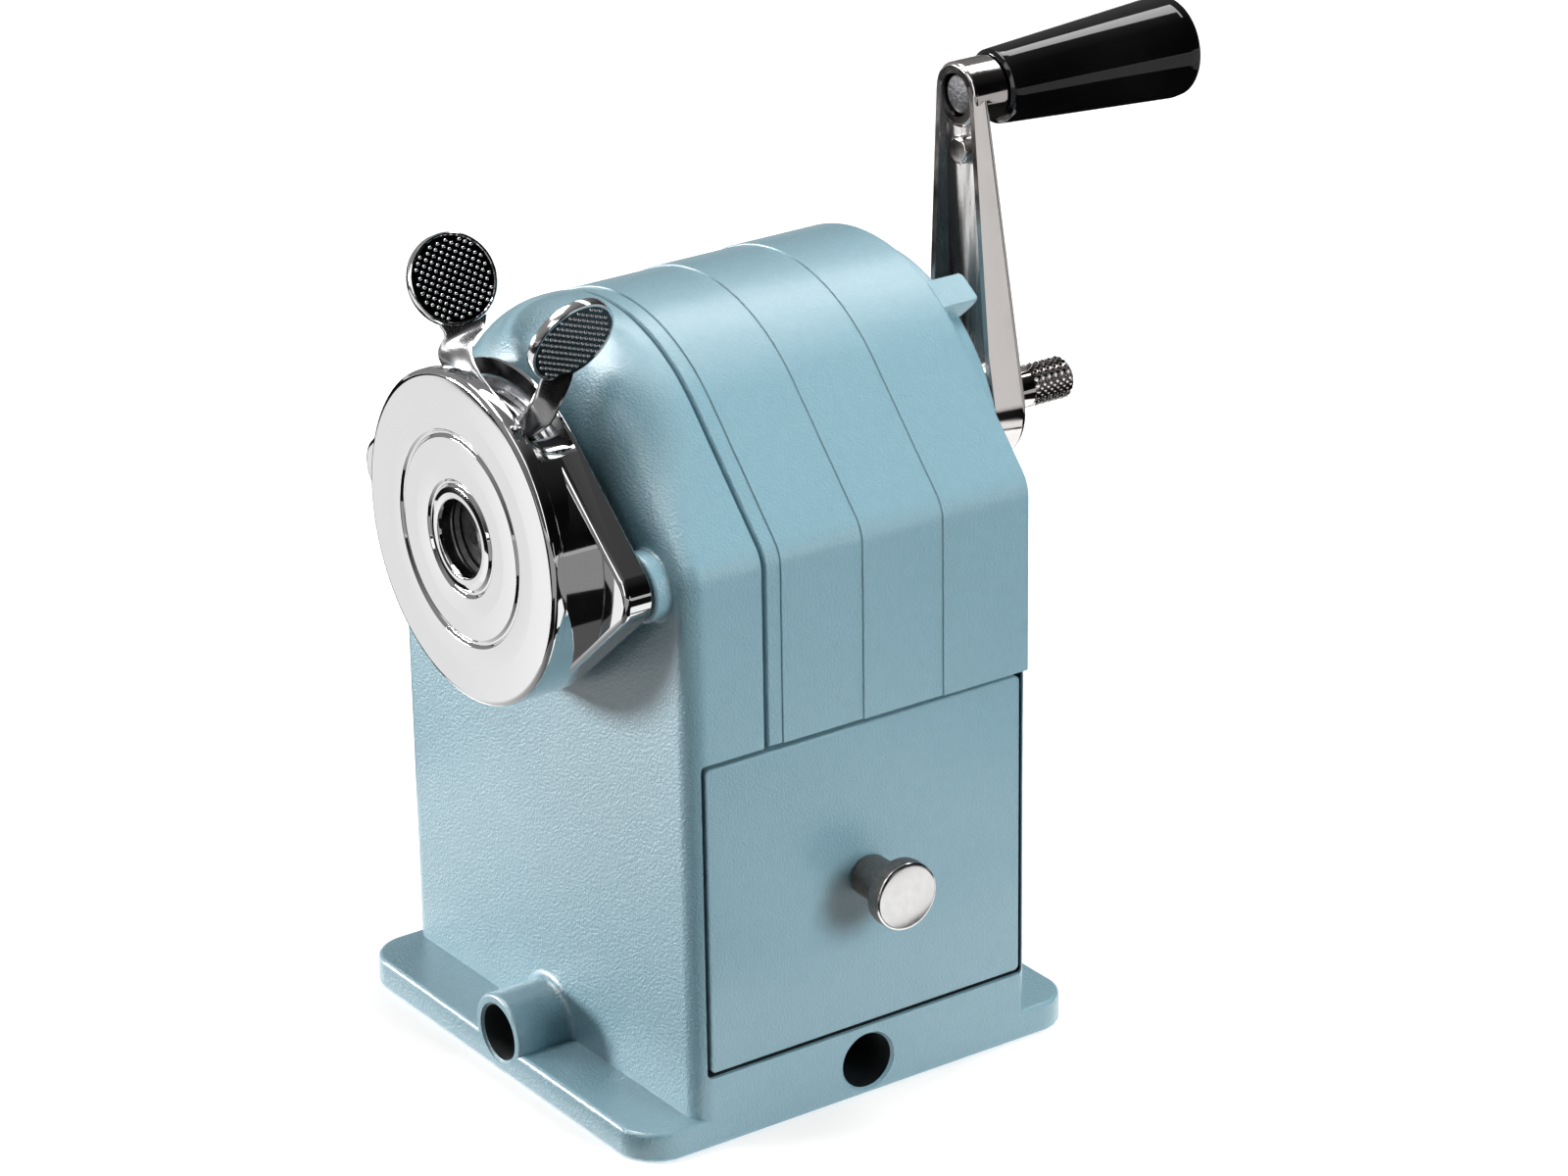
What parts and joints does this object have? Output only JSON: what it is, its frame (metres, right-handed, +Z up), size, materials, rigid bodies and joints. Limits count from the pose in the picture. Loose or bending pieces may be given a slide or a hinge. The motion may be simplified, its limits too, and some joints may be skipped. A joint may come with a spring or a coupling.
{
  "type": "pencil sharpener",
  "caption": "Desk pencil sharpener: painted metal body with a hand crank, a spring-loaded sliding pencil holder with squeeze levers, and a shavings drawer on the side.",
  "frame": {"origin": "middle of the base, on the surface it stands on", "axes": "+Z up, -Y towards the pencil holder (front), +Y towards the crank, +X towards the drawer knob"},
  "size_m": [0.0822, 0.1247, 0.1309],
  "materials": {
    "blue_paint": "smooth light blue powder coat, semi-gloss",
    "chrome": "polished chrome plate",
    "turned_metal": "turned, fine rings",
    "bronze": "plain bearing metal",
    "black_plastic": "gloss black",
    "grey_plastic": "matt",
    "rubber": "matt, non-slip",
    "steel": "plain machined steel"
  },
  "bodies": {
    "body": {"body_casting": "blue_paint", "hood": "blue_paint", "base_pad": "rubber", "hood_screw_1": "steel", "hood_screw_2": "steel", "hood_screw_3": "steel", "hood_screw_4": "steel", "ring_gear": "steel", "front_bush": "bronze", "rear_bearing": "bronze", "rod_bush_left": "bronze", "rod_bush_right": "bronze", "return_spring_left": "steel", "return_spring_right": "steel"},
    "drawer": {"drawer_front": "blue_paint", "drawer_tray": "grey_plastic", "drawer_knob": "turned_metal", "knob_screw": "steel"},
    "holder": {"holder_housing": "chrome", "holder_face": "chrome", "holder_back_plate": "steel", "clutch_body": "steel", "guide_rod_left": "steel", "guide_rod_right": "steel", "rod_retainer_left": "steel", "rod_retainer_right": "steel", "lever_spring": "steel"},
    "left_lever": {"lever_left": "chrome"},
    "right_lever": {"lever_right": "chrome"},
    "top_jaw": {"jaw_1": "steel"},
    "left_jaw": {"jaw_2": "steel"},
    "right_jaw": {"jaw_3": "steel"},
    "crank": {"crank_arm": "chrome", "crank_sleeve": "chrome", "drive_shaft": "steel", "cutter_carrier": "steel", "cutter_axle": "turned_metal", "handle_axle": "steel"},
    "handle": {"handle_grip": "black_plastic"},
    "cutter": {"milling_cutter": "steel", "cutter_pinion": "turned_metal"},
    "adjuster": {"adjuster_knob": "chrome"},
    "stop": {"point_stop": "steel"}
  },
  "joints": [
    {"name": "drawer_slide", "type": "slide", "parent": "body", "child": "drawer", "axis": [1, 0, 0], "range_m": [0, 0.058]},
    {"name": "holder_slide", "type": "slide", "parent": "body", "child": "holder", "axis": [0, -1, 0], "range_m": [0, 0.03], "stiffness_N_per_m": 80, "springref_m": -0.02, "deforming": ["return_spring_left", "return_spring_right"]},
    {"name": "left_lever_hinge", "type": "hinge", "parent": "holder", "child": "left_lever", "pos_m": [0, 0, 0.08], "axis": [0, 1, 0], "range_deg": [0, 12], "stiffness_Nm_per_rad": 0.1, "springref_deg": -17.19},
    {"name": "right_lever_hinge", "type": "hinge", "parent": "holder", "child": "right_lever", "pos_m": [0, 0, 0.08], "axis": [0, -1, 0], "range_deg": [0, 12]},
    {"name": "top_jaw_slide", "type": "slide", "parent": "holder", "child": "top_jaw", "axis": [0, 0, 1], "range_m": [0, 0.003]},
    {"name": "left_jaw_slide", "type": "slide", "parent": "holder", "child": "left_jaw", "axis": [-0.866, 0, -0.5], "range_m": [0, 0.003]},
    {"name": "right_jaw_slide", "type": "slide", "parent": "holder", "child": "right_jaw", "axis": [0.866, 0, -0.5], "range_m": [0, 0.003]},
    {"name": "crank_turn", "type": "hinge", "parent": "body", "child": "crank", "pos_m": [0, 0, 0.08], "axis": [0, 1, 0], "continuous": true},
    {"name": "grip_spin", "type": "hinge", "parent": "crank", "child": "handle", "pos_m": [-0.00503, 0.07, 0.12351], "axis": [0, 1, 0], "continuous": true},
    {"name": "cutter_spin", "type": "hinge", "parent": "crank", "child": "cutter", "pos_m": [0, -0.0191, 0.0909], "axis": [0, 0.9848, -0.1736], "continuous": true},
    {"name": "point_adjust", "type": "hinge", "parent": "crank", "child": "adjuster", "pos_m": [0, 0, 0.08], "axis": [0, -1, 0], "range_deg": [0, 720]},
    {"name": "stop_slide", "type": "slide", "parent": "crank", "child": "stop", "axis": [0, -1, 0], "range_m": [0, 0.0014]}
  ],
  "couplings": [
    {"joint": "right_lever_hinge", "follows": "left_lever_hinge", "ratio": 1},
    {"joint": "top_jaw_slide", "follows": "left_lever_hinge", "m_per_rad": 0.013846},
    {"joint": "left_jaw_slide", "follows": "left_lever_hinge", "m_per_rad": 0.013846},
    {"joint": "right_jaw_slide", "follows": "left_lever_hinge", "m_per_rad": 0.013846},
    {"joint": "cutter_spin", "follows": "crank_turn", "ratio": -3.3333},
    {"joint": "stop_slide", "follows": "point_adjust", "m_per_rad": 0.0001114}
  ]
}
